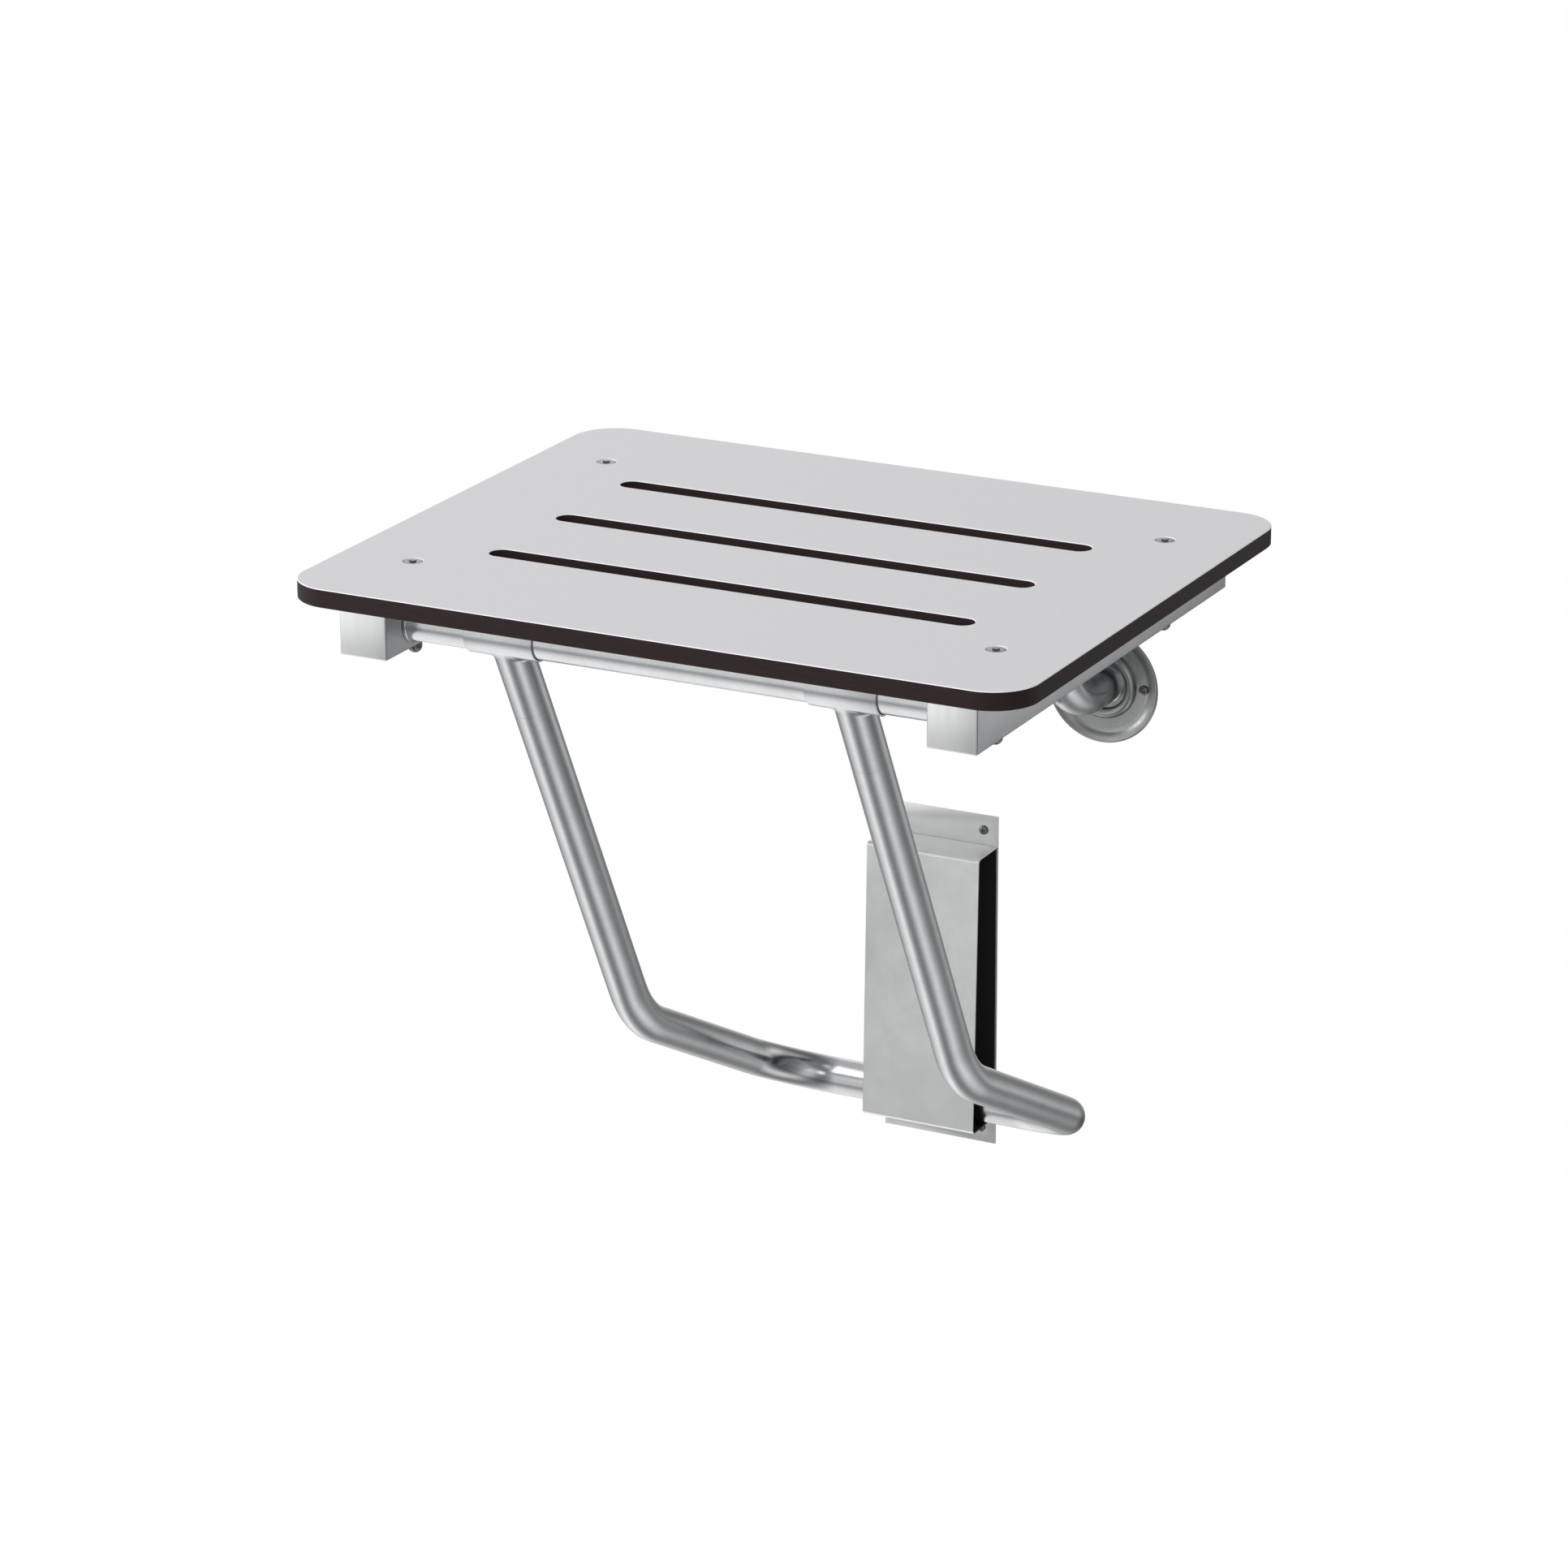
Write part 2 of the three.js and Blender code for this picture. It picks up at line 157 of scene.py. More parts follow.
def laminate_face(name, colour):
    """Pressed laminate: a dense, faintly mottled surface with a fine satin texture."""
    material, nodes, shader = new_material(name)
    place = nodes.add("ShaderNodeTexCoord").outputs["Object"]
    mottle = nodes.noise(place, (1, 1, 1), 260.0, detail=5.0, roughness=0.7)
    stops = [(0.3, shade(colour, 0.965)), (0.7, shade(colour, 1.025))]
    nodes.link(nodes.ramp(mottle, stops), shader.inputs["Base Color"])
    sheen = nodes.add("ShaderNodeMapRange", From_Min=0.3, From_Max=0.7, To_Min=0.42, To_Max=0.52)
    nodes.link(mottle, sheen.inputs["Value"])
    nodes.link(sheen.outputs["Result"], shader.inputs["Roughness"])
    grain = nodes.noise(place, (1, 1, 1), 1400.0, detail=2.0)
    nodes.link(nodes.bump(grain, 0.12, 0.02 * MM), shader.inputs["Normal"])
    return material


def laminate_core(name, colour):
    """The sawn edge: dark resin-bonded paper in fine flat layers."""
    material, nodes, shader = new_material(name)
    place = nodes.add("ShaderNodeTexCoord").outputs["Object"]
    layers = nodes.noise(place, (0.04, 0.04, 1), 2200.0, detail=3.0)
    stops = [(0.3, shade(colour, 0.8)), (0.7, shade(colour, 1.2))]
    nodes.link(nodes.ramp(layers, stops), shader.inputs["Base Color"])
    shader.inputs["Roughness"].default_value = 0.6
    shader.inputs["Specular IOR Level"].default_value = 0.25
    nodes.link(nodes.bump(layers, 0.15, 0.02 * MM), shader.inputs["Normal"])
    return material


def moulded(name, colour, roughness):
    material, nodes, shader = new_material(name)
    place = nodes.add("ShaderNodeTexCoord").outputs["Object"]
    speckle = nodes.noise(place, (1, 1, 1), 1500.0, detail=2.0)
    stops = [(0.3, shade(colour, 0.85)), (0.7, shade(colour, 1.15))]
    nodes.link(nodes.ramp(speckle, stops), shader.inputs["Base Color"])
    shader.inputs["Roughness"].default_value = roughness
    nodes.link(nodes.bump(speckle, 0.1, 0.02 * MM), shader.inputs["Normal"])
    return material


STEEL_COLOUR = (0.53, 0.54, 0.55)
TUBE_STEEL = steel("tube_steel", STEEL_COLOUR, 0.17, 0.29, (0.25, 1, 1))
RAIL_STEEL = steel("rail_steel", STEEL_COLOUR, 0.28, 0.42, (0.2, 1, 1), grain=700.0)
# The rails' own steel painted far brighter, as painted light on the rail end faces.
LIT_END_STEEL = steel("painted_light_end_steel", (0.93, 0.94, 0.94), 0.28, 0.42, (0.2, 1, 1), grain=700.0)
# A brighter copy of the steel: painted light lifting the guide's plate and front out of the shade that falls
# on them.
LIT_SHEET_STEEL = steel("painted_light_sheet_steel", (0.8, 0.82, 0.81), 0.3, 0.45, (1, 0.12, 1), grain=800.0)
# A darker copy of the steel: painted shade for the flange's dish.
SHADED_DISH_STEEL = steel("painted_shade_dish_steel", (0.36, 0.365, 0.365), 0.24, 0.38, (0.3, 1, 1), grain=600.0, lines=0.4)
SCREW_STEEL = steel("screw_steel", (0.2, 0.2, 0.21), 0.2, 0.32, (0.3, 1, 1), anisotropic=0.0)
LAMINATE = laminate_face("laminate_face", (0.595, 0.595, 0.61))
# A much lighter copy of the laminate: a painted highlight along the top bevels.
LAMINATE_HIGHLIGHT = laminate_face("laminate_bevel_highlight", (0.86, 0.86, 0.87))
CORE = laminate_core("laminate_core", (0.024, 0.013, 0.013))
# Near-black painted shade: the channel's inner skin and a thin film behind it stand in for the shade inside
# the guide.
SHADE_LINER = moulded("painted_shade_liner", (0.012, 0.012, 0.013), 0.55)
NYLON = moulded("dark_nylon", (0.02, 0.02, 0.022), 0.5)


# ---------------------------------------------------------------- mesh tools
def piece(name, mesh, body, replaced=(), materials=()):
    for material in materials:
        mesh.materials.append(material)
    made = bpy.data.objects.new(name, mesh)
    bpy.context.scene.collection.objects.link(made)
    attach(made, body)
    if replaced:
        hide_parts(*replaced)
    return made


def grid_mesh(name, rows, coordinates, closed_rows=False):
    """A skin over rows of points, each a closed ring. coordinates gives a point's UV in metres."""
    count = len(rows[0])
    bm = bmesh.new()
    layer = bm.loops.layers.uv.new("UVMap")
    rings = [[bm.verts.new(point) for point in row] for row in rows]
    spans = len(rows) if closed_rows else len(rows) - 1
    for i in range(spans):
        following = (i + 1) % len(rows)
        for k in range(count):
            corners = [(i, k), (i, k + 1), (i + 1, k + 1), (i + 1, k)]
            face = bm.faces.new([rings[i][k], rings[i][(k + 1) % count],
                                 rings[following][(k + 1) % count], rings[following][k]])
            for loop, (row, column) in zip(face.loops, corners):
                loop[layer].uv = coordinates(row, column)
    bmesh.ops.recalc_face_normals(bm, faces=bm.faces)
    mesh = bpy.data.meshes.new(name)
    bm.to_mesh(mesh)
    bm.free()
    mesh.shade_smooth()
    mesh.set_sharp_from_angle(angle=SHARP_ANGLE)
    return mesh


def lathe(name, profile, place, axis, facets=ROUND):
    """Turns a closed profile of (radius, height) about an axis."""
    turn = Z_AXIS.rotation_difference(axis)
    rows = []
    for radius, height in profile:
        ring = [Vector((radius * cos(2 * pi * k / facets), radius * sin(2 * pi * k / facets), height))
                for k in range(facets)]
        rows.append([place + turn @ point for point in ring])
    reach = [0.0]
    for (r0, h0), (r1, h1) in zip(profile, profile[1:] + profile[:1]):
        reach.append(reach[-1] + sqrt((r1 - r0) ** 2 + (h1 - h0) ** 2))
    widest = max(radius for radius, _ in profile)
    return grid_mesh(name, rows, lambda row, column: (2 * pi * widest * column / facets, reach[row]),
                     closed_rows=True)


def solid_lathe(name, profile, place, axis, facets=ROUND):
    """A turned solid whose profile starts and ends on the axis: the tip rings are merged to points."""
    mesh = lathe(name, profile, place, axis, facets)
    bm = bmesh.new()
    bm.from_mesh(mesh)
    bmesh.ops.remove_doubles(bm, verts=bm.verts, dist=1e-7)
    bmesh.ops.dissolve_degenerate(bm, edges=bm.edges, dist=1e-8)
    bm.to_mesh(mesh)
    bm.free()
    return mesh


def quadratic(a, b, c, steps):
    """Points along a quadratic curve from a to c pulled towards b."""
    places = [k / steps for k in range(steps + 1)]
    return [a * (1 - t) ** 2 + b * 2 * t * (1 - t) + c * t ** 2 for t in places]


def rounded(radius_height, size, steps=5):
    """A (radius, height) outline with rounded corners: each entry is radius, height, rounding."""
    points = [Vector((r, h)) for r, h, _ in radius_height]
    out = []
    for i, (_, _, corner) in enumerate(radius_height):
        if not corner:
            out.append(points[i])
            continue
        before, after = points[i - 1], points[(i + 1) % len(points)]
        start = points[i] + (before - points[i]).normalized() * corner * size
        end = points[i] + (after - points[i]).normalized() * corner * size
        out.extend(quadratic(start, points[i], end, steps))
    return [(point.x, point.y) for point in out]


def bent_path(corners, step=radians(4)):
    """Stations (point, tangent) along straights joined by tangent arcs; a corner is (point, bend radius)."""
    stations = []
    for i, (point, bend) in enumerate(corners):
        into = (point - corners[i - 1][0]).normalized() if i else None
        out = (corners[i + 1][0] - point).normalized() if i + 1 < len(corners) else None
        if into is None or out is None:
            stations.append((point.copy(), out if into is None else into))
            continue
        turn = into.angle(out)
        axis = into.cross(out).normalized()
        start = point - into * bend * tan(turn / 2)
        centre = start + axis.cross(into) * bend
        steps = ceil(turn / step)
        for k in range(steps + 1):
            spin = Quaternion(axis, turn * k / steps)
            stations.append((centre + spin @ (start - centre), spin @ into))
    return stations


def cope(ring, at, direction, radius):
    """Slides a ring's points along a tube until they meet the round surface about an X line through at."""
    across = direction.cross(X_AXIS)
    out = []
    for point in ring:
        away = point - at
        side = away.dot(across)
        rise = sqrt(max(radius ** 2 - side ** 2, (0.1 * MM) ** 2))
        out.append(at + X_AXIS * away.dot(X_AXIS) + across * side + direction * rise)
    return out


def tube(name, stations, radius, bore, coped=None):
    """A hollow tube along stations. coped is (at, direction, radius) for a first end cut to fit a sleeve."""
    normal = stations[0][1].orthogonal().normalized()
    last = stations[0][1]
    frames, reach = [], [0.0]
    for i, (point, tangent) in enumerate(stations):
        normal = last.rotation_difference(tangent) @ normal
        last = tangent
        frames.append((point, normal, tangent.cross(normal)))
        if i:
            reach.append(reach[-1] + (point - stations[i - 1][0]).length)

    def ring(station, size):
        point, u, v = frames[station]
        return [point + (u * cos(a) + v * sin(a)) * size for a in (2 * pi * k / ROUND for k in range(ROUND))]

    outer = [ring(i, radius) for i in range(len(stations))]
    inner = [ring(i, bore) for i in range(len(stations))]
    if coped:
        outer[0] = cope(outer[0], *coped)
        inner[0] = cope(inner[0], *coped)
    rows = outer + inner[::-1]
    lengths = reach + reach[::-1] + [reach[0]]
    return grid_mesh(name, rows, lambda row, column: (2 * pi * radius * column / ROUND, lengths[row]),
                     closed_rows=True)


def applied(made):
    """Replaces an object's mesh by the result of its modifiers."""
    evaluated = made.evaluated_get(bpy.context.evaluated_depsgraph_get())
    mesh = bpy.data.meshes.new_from_object(evaluated)
    made.modifiers.clear()
    made.data = mesh


def cut(made, cutter_meshes):
    """Cuts solids out of a piece."""
    for mesh in cutter_meshes:
        cutter = bpy.data.objects.new("cutter", mesh)
        bpy.context.scene.collection.objects.link(cutter)
        boolean = made.modifiers.new("cut", "BOOLEAN")
        boolean.object = cutter
        boolean.solver = "EXACT"
        applied(made)
        bpy.data.objects.remove(cutter)
    made.data.set_sharp_from_angle(angle=SHARP_ANGLE)


def block_mesh(name, low, high, bevel, segments=3):
    """A box with rounded edges and a box-mapped UV in metres, its V along the longest side."""
    size = high - low
    bm = bmesh.new()
    bmesh.ops.create_cube(bm, size=1.0)
    for vert in bm.verts:
        vert.co = Vector(((vert.co[i] + 0.5) * size[i] + low[i]) for i in range(3))
    if bevel:
        bmesh.ops.bevel(bm, geom=bm.edges[:], offset=bevel, segments=segments, profile=0.5, affect="EDGES")
    longest = max(range(3), key=lambda i: size[i])
    others = [i for i in range(3) if i != longest]
    layer = bm.loops.layers.uv.new("UVMap")
    for face in bm.faces:
        flat = min(others, key=lambda i: abs(face.normal[i]))
        for loop in face.loops:
            loop[layer].uv = (loop.vert.co[flat], loop.vert.co[longest])
    mesh = bpy.data.meshes.new(name)
    bm.to_mesh(mesh)
    bm.free()
    mesh.shade_smooth()
    mesh.set_sharp_from_angle(angle=SHARP_ANGLE)
    return mesh


def rod_mesh(name, radius, start, end, facets=32):
    axis = end - start
    profile = [(0, 0), (radius, 0), (radius, axis.length), (0, axis.length)]
    return solid_lathe(name, profile, start, axis.normalized(), facets)


def hex_mesh(name, flats, low, high, place, chamfer=0.0):
    """A hexagonal prism standing on Z, with chamfered corners at both ends."""
    corner = flats / sqrt(3)
    bm = bmesh.new()
    turned = Matrix.Translation(place + Z_AXIS * (low + high) / 2)
    bmesh.ops.create_cone(bm, cap_ends=True, segments=6, radius1=corner, radius2=corner,
                          depth=high - low, matrix=turned)
    if chamfer:
        caps = [edge for edge in bm.edges if abs(edge.verts[0].co.z - edge.verts[1].co.z) < 1e-9]
        bmesh.ops.bevel(bm, geom=caps, offset=chamfer, segments=2, profile=0.5, affect="EDGES")
    mesh = bpy.data.meshes.new(name)
    bm.to_mesh(mesh)
    bm.free()
    return mesh


# ---------------------------------------------------------------- seat panel
def arc_points(centre, radius, start, end, steps):
    return [centre + Vector((cos(a), sin(a))) * radius
            for a in (start + (end - start) * k / steps for k in range(steps + 1))]


def panel_outline():
    centre = (panel_low + panel_high).xy / 2
    half = (panel_high - panel_low).xy / 2 - Vector((PANEL_CORNER, PANEL_CORNER))
    out = []
    for quarter, (sx, sy) in enumerate([(1, 1), (-1, 1), (-1, -1), (1, -1)]):
        corner = centre + Vector((sx * half.x, sy * half.y))
        out += arc_points(corner, PANEL_CORNER, quarter * pi / 2, (quarter + 1) * pi / 2, 16)
    return out


def slot_outline(y):
    radius = SLOT_WIDTH / 2
    reach = SLOT_LENGTH / 2 - radius
    right = arc_points(Vector((reach, y)), radius, -pi / 2, pi / 2, 16)
    return right + arc_points(Vector((-reach, y)), radius, pi / 2, 3 * pi / 2, 16)


def make_panel():
    """One board: faces in light laminate, upward bevelled rims painted as a bright highlight line, sawn
    edges and lower rims in the dark core.
    """
    curve = bpy.data.curves.new("panel_outline", "CURVE")
    curve.dimensions = "2D"
    curve.fill_mode = "BOTH"
    curve.extrude = (panel_high.z - panel_low.z) / 2 - CHAMFER
    curve.bevel_depth = CHAMFER
    curve.bevel_resolution = 0
    curve.offset = -CHAMFER
    middle = (panel_low.y + panel_high.y) / 2
    loops = [panel_outline()] + [slot_outline(middle + i * SLOT_PITCH) for i in (-1, 0, 1)]
    last = SMALL_ROUND - 1
    for name in seat_screw_names:
        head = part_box(name)
        centre = (head[0] + head[1]).xy / 2
        radius = (head[1].x - head[0].x) / 2 + CLEARANCE
        loops.append(arc_points(centre, radius, 0, 2 * pi * last / SMALL_ROUND, last))
    for loop in loops:
        spline = curve.splines.new("POLY")
        spline.points.add(len(loop) - 1)
        for point, place in zip(spline.points, loop):
            point.co = (place.x, place.y, 0, 1)
        spline.use_cyclic_u = True
    source = bpy.data.objects.new("panel_source", curve)
    bpy.context.scene.collection.objects.link(source)
    evaluated = source.evaluated_get(bpy.context.evaluated_depsgraph_get())
    mesh = bpy.data.meshes.new_from_object(evaluated)
    bpy.data.objects.remove(source)
    bm = bmesh.new()
    bm.from_mesh(mesh)
    bmesh.ops.remove_doubles(bm, verts=bm.verts, dist=1e-6)
    bmesh.ops.recalc_face_normals(bm, faces=bm.faces)
    for vert in bm.verts:
        vert.co.z += (panel_low.z + panel_high.z) / 2
    for face in bm.faces:
        tilt = abs(face.normal.z)
        # Upward-facing bevels get the painted highlight; the rest of the edge takes the core.
        rim = face.normal.z > 0.3
        face.material_index = 0 if tilt > 0.95 else 1 if rim else 2
        face.smooth = tilt < 0.3
    mesh.materials.clear()
    bm.to_mesh(mesh)
    bm.free()
    mesh.set_sharp_from_angle(angle=radians(30))
    piece("seat_board", mesh, "seat", ["seat_panel"], [LAMINATE, LAMINATE_HIGHLIGHT, CORE])


# ---------------------------------------------------------------- seat fasteners
seat_screw_names = [f"seat_screw_{row}_{side}" for row in ("front", "back") for side, _ in SIDES]
SHANK, HEAD_DEPTH, HEAD_RIM = 3 * MM, 3.3 * MM, 0.5 * MM
SOCKET_FLATS, SOCKET_DEPTH = 4 * MM, 2.6 * MM
FASTENER_BORE = 3.3 * MM
NUT_DEPTH, NUT_CHAMFER, NUT_BORE_DEPTH = 5 * MM, 0.5 * MM, 4.5 * MM
DOME, DOME_BASE = 4.7 * MM, 4.9 * MM


def make_seat_screws():
    for name in seat_screw_names:
        low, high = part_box(name)
        place = Vector(((low.x + high.x) / 2, (low.y + high.y) / 2, 0))
        head = (high.x - low.x) / 2
        outline = rounded([(0, low.z, 0), (SHANK, low.z, 0.6), (SHANK, high.z - HEAD_DEPTH, 0),
                           (head, high.z - HEAD_RIM, 0.3), (head, high.z, 0.3), (0, high.z, 0)], MM)
        screw = piece(f"{name}_detail", solid_lathe(name, outline, place, Z_AXIS, SMALL_ROUND), "seat",
                      [name], [SCREW_STEEL])
        cut(screw, [hex_mesh("socket", SOCKET_FLATS, high.z - SOCKET_DEPTH, high.z + MM, place)])

        washer = name.replace("seat_screw", "rail_washer")
        low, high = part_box(washer)
        outer = (high.x - low.x) / 2
        ring = rounded([(FASTENER_BORE, low.z, 0.3), (outer, low.z, 0.4), (outer, high.z, 0.4),
                        (FASTENER_BORE, high.z, 0.3)], MM)
        piece(f"{washer}_detail", lathe(washer, ring, place, Z_AXIS, SMALL_ROUND), "seat",
              [washer], [SCREW_STEEL])

        nut = name.replace("seat_screw", "cap_nut")
        low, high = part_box(nut)
        prism = hex_mesh(nut, high.x - low.x, high.z - NUT_DEPTH, high.z, place, NUT_CHAMFER)
        hexagon = piece(f"{nut}_detail", prism, "seat", [nut], [SCREW_STEEL])
        cut(hexagon, [rod_mesh("nut_bore", FASTENER_BORE, place + Z_AXIS * (high.z - NUT_BORE_DEPTH),
                               place + Z_AXIS * (high.z + MM))])
        cap = [(0, low.z)]
        for angle in (pi / 2 * k / 12 for k in range(1, 13)):
            cap.append((DOME * sin(angle), low.z + DOME * (1 - cos(angle))))
        cap += [(DOME, high.z - DOME_BASE), (0, high.z - DOME_BASE)]
        piece(f"{nut}_dome", solid_lathe(f"{nut}_dome", cap, place, Z_AXIS, SMALL_ROUND), "seat",
              [], [SCREW_STEEL])


# ---------------------------------------------------------------- seat frame
def make_rails():
    """Each rail is one square tube, its ends welded shut and ground flush; its end faces are painted
    brighter than its sides as painted light.
    """
    for side, _ in SIDES:
        names = [f"seat_rail_{side}", f"rail_front_cap_{side}", f"rail_back_cap_{side}"]
        boxes = [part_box(name) for name in names]
        low = Vector(min(box[0][i] for box in boxes) for i in range(3))
        high = Vector(max(box[1][i] for box in boxes) for i in range(3))
        mesh = block_mesh(f"rail_{side}", low, high, 1.0 * MM, 4)
        for polygon in mesh.polygons:
            # Faces turned to the front or back take the painted-light end steel.
            polygon.material_index = int(abs(polygon.normal.y) > 0.9)
        piece(f"rail_{side}_welded", mesh, "seat", names, [RAIL_STEEL, LIT_END_STEEL])


def make_cross_tubes():
    """Both cross tubes run from rail to rail, flared at each end by the fillet of their weld."""
    for name in ("front_cross_tube", "rear_cross_tube"):
        low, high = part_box(name)
        centre = Vector((0, (low.y + high.y) / 2, (low.z + high.z) / 2))
        half = (high.x - low.x) / 2
        left = quadratic(Vector((TUBE + TUBE_FILLET, -half)), Vector((TUBE, -half)),
                         Vector((TUBE, TUBE_FILLET - half)), 6)
        right = [Vector((point.x, -point.y)) for point in reversed(left)]
        profile = [(BORE, -half)] + [(point.x, point.y) for point in left + right] + [(BORE, half)]
        mesh = lathe(name, profile, centre, X_AXIS)
        piece(f"{name}_welded", mesh, "seat", [name], [TUBE_STEEL])


def sleeve_mesh(name, low, high):
    centre = (low + high) / 2
    half = (high.x - low.x) / 2
    bore = TUBE + CLEARANCE
    profile = rounded([(bore, -half, 0.4), (SLEEVE, -half, 0.5), (SLEEVE, half, 0.5), (bore, half, 0.4)], MM)
    return lathe(name, profile, centre, X_AXIS)


def saddle_weld(name, at, direction):
    """The concave fillet where a tube leaves a sleeve, about the line where the two round surfaces meet."""
    across = direction.cross(X_AXIS)
    steps, rows = 6, []
    for k in range(96):
        angle = 2 * pi * k / 96

        def on_sleeve(radius):
            side = max(-0.985 * SLEEVE, min(0.985 * SLEEVE, radius * sin(angle)))
            rise = sqrt(SLEEVE ** 2 - side ** 2)
            return X_AXIS * radius * cos(angle) + across * side + direction * rise

        meeting = on_sleeve(TUBE)
        on_tube = meeting + direction * WELD_LEG
        foot = on_sleeve(TUBE + WELD_LEG)
        buried = meeting - (X_AXIS * cos(angle) + across * sin(angle)) * MM * 0.8 - direction * 0.4 * MM
        rows.append([at + point for point in quadratic(on_tube, meeting, foot, steps) + [buried]])
    return grid_mesh(name, rows, lambda row, column: (row * MM, column * MM), closed_rows=True)


# ---------------------------------------------------------------- legs
def hinge_at(x):
    return Vector((x, FRONT_HINGE.y, FRONT_HINGE.z))


def knee_at(x):
    return Vector((x, KNEE.y, KNEE.z))


def make_legs():
    down = (knee_at(0) - hinge_at(0)).normalized()
    for side, sign in SIDES:
        name = f"front_sleeve_{side}"
        hinge = hinge_at(sign * LEG_X)
        centre = Vector((SLEEVE_HALF, 0, 0))
        sleeve = sleeve_mesh(name, hinge - centre, hinge + centre)
        piece(f"{name}_detail", sleeve, "leg_hinge", [name], [TUBE_STEEL])
        stub = bent_path([(hinge + down * SLEEVE, 0), (hinge + down * (STUB + 0.1 * MM), 0)])
        coped = (hinge, down, SLEEVE - CLEARANCE)
        mesh = tube(f"leg_stub_{side}", stub, TUBE, BORE, coped)
        piece(f"leg_stub_{side}", mesh, "leg_hinge", [], [TUBE_STEEL])
        weld = saddle_weld(f"leg_weld_{side}", hinge, down)
        piece(f"leg_weld_{side}", weld, "leg_hinge", [], [TUBE_STEEL])
    corners = []
    for sign in (-1, 1):
        x = sign * LEG_X
        leg = [(hinge_at(x) + down * (STUB + 0.2 * MM), 0), (knee_at(x), KNEE_BEND),
               (Vector((x, RUNG.y, RUNG.z)), RUNG_BEND)]
        corners += leg if sign < 0 else leg[::-1]
    mesh = tube("leg_frame_tube", bent_path(corners), TUBE, BORE)
    piece("leg_frame_tube", mesh, "leg_frame", ["leg_tube"], [TUBE_STEEL])


def make_glide():
    half = (GLIDE_HIGH.x - GLIDE_LOW.x) / 2
    outer = (GLIDE_HIGH.z - GLIDE_LOW.z) / 2
    inner = TUBE + CLEARANCE
    profile = rounded([(inner, -half, 0.2), (outer, -half, 0.3), (outer, half, 0.3), (inner, half, 0.2)], MM)
    piece("rung_glide_sleeve", lathe("rung_glide", profile, RUNG, X_AXIS), "glide",
          ["rung_glide"], [NYLON])


# ---------------------------------------------------------------- wall side
def make_posts():
    for side, sign in SIDES:
        x = sign * LEG_X
        pivot = Vector((x, PIVOT.y, PIVOT.z))
        down = -Z_AXIS
        path = bent_path([(pivot + down * SLEEVE, 0), (Vector((x, PIVOT.y, POST_Z)), POST_BEND),
                          (Vector((x, 0, POST_Z)), 0)])
        mesh = tube(f"post_{side}", path, TUBE, BORE, (pivot, down, SLEEVE - CLEARANCE))
        piece(f"wall_post_{side}_bent", mesh, "wall", [f"wall_post_{side}"], [TUBE_STEEL])
        name = f"rear_sleeve_{side}"
        sleeve = sleeve_mesh(name, *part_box(name))
        piece(f"{name}_detail", sleeve, "wall", [name], [TUBE_STEEL])
        weld = saddle_weld(f"post_weld_{side}", pivot, down)
        piece(f"post_weld_{side}", weld, "wall", [], [TUBE_STEEL])


FLANGE_RIM, FLANGE_FLOOR_OUT, FLANGE_FLOOR_IN = 4.7 * MM, 32.2 * MM, 23.3 * MM
FLANGE_SHEET, FLANGE_BEAD = 1.5 * MM, 5.4 * MM
SCREW_HOLE = 2.3 * MM
PAN_SHANK, PAN_DEPTH, PAN_EDGE, PAN_SHOULDER, PAN_CROWN = 2 * MM, 1.9 * MM, 0.2 * MM, 0.5 * MM, 1.4 * MM
RECESS_ARM, RECESS_REACH, RECESS_DEPTH = 0.4 * MM, 1.7 * MM, 1.1 * MM
GUIDE_SHEET, GUIDE_FOLD, GUIDE_TOP_DEPTH = 1.2 * MM, 2.4 * MM, 31 * MM
# Depths of a thin near-black film of painted shade on the back plate inside the channel.
SHADE_FILM_BACK, SHADE_FILM_FRONT = -1.55 * MM, -1.85 * MM


def flange_profile(outer):
    """A dished rosette: raised rolled rim, flat screw floor, round bead, and a shadow groove at the post."""
    hole = TUBE + CLEARANCE
    groove = hole + 3 * MM
    points = [Vector((outer - 1.2 * MM, FLANGE_RIM)), Vector((FLANGE_FLOOR_OUT, FLANGE_SHEET)),
              Vector((FLANGE_FLOOR_IN, FLANGE_SHEET))]
    slope = points[1] - points[0]
    profile = [(hole, 0), (FLANGE_FLOOR_OUT + MM, 0), (outer, FLANGE_RIM - FLANGE_SHEET)]
    rim = quadratic(Vector((outer, FLANGE_RIM - FLANGE_SHEET)), Vector((outer, FLANGE_RIM)), points[0], 6)
    dish = quadratic(points[1] - slope.normalized() * 1.6 * MM, points[1],
                     points[1] - Vector((2.2 * MM, 0)), 6)
    profile += [(p.x, p.y) for p in rim[1:] + dish]
    middle, reach = (FLANGE_FLOOR_IN + groove) / 2, (FLANGE_FLOOR_IN - groove) / 2
    for k in range(17):
        angle = pi * k / 16
        bulge = (FLANGE_BEAD - FLANGE_SHEET) * sin(angle)
        profile.append((middle + reach * cos(angle), FLANGE_SHEET + bulge))
    return profile + [(groove, MM), (hole, MM)]


def make_flanges():
    for side, sign in SIDES:
        low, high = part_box(f"wall_flange_{side}")
        centre = Vector(((low.x + high.x) / 2, 0, (low.z + high.z) / 2))
        mesh = lathe(f"flange_{side}", flange_profile((high.x - low.x) / 2), centre, -Y_AXIS, 128)
        # The flange's steel is darkened as painted shade.
        made = piece(f"wall_flange_{side}_dished", mesh, "wall", [f"wall_flange_{side}"],
                     [SHADED_DISH_STEEL])
        holes = []
        for end, _ in SIDES:
            screw_low, screw_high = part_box(f"flange_screw_{side}_{end}")
            place = Vector(((screw_low.x + screw_high.x) / 2, 0, centre.z))
            holes.append(rod_mesh("hole", SCREW_HOLE, place + Y_AXIS * MM, place - Y_AXIS * 4 * MM))
        cut(made, holes)


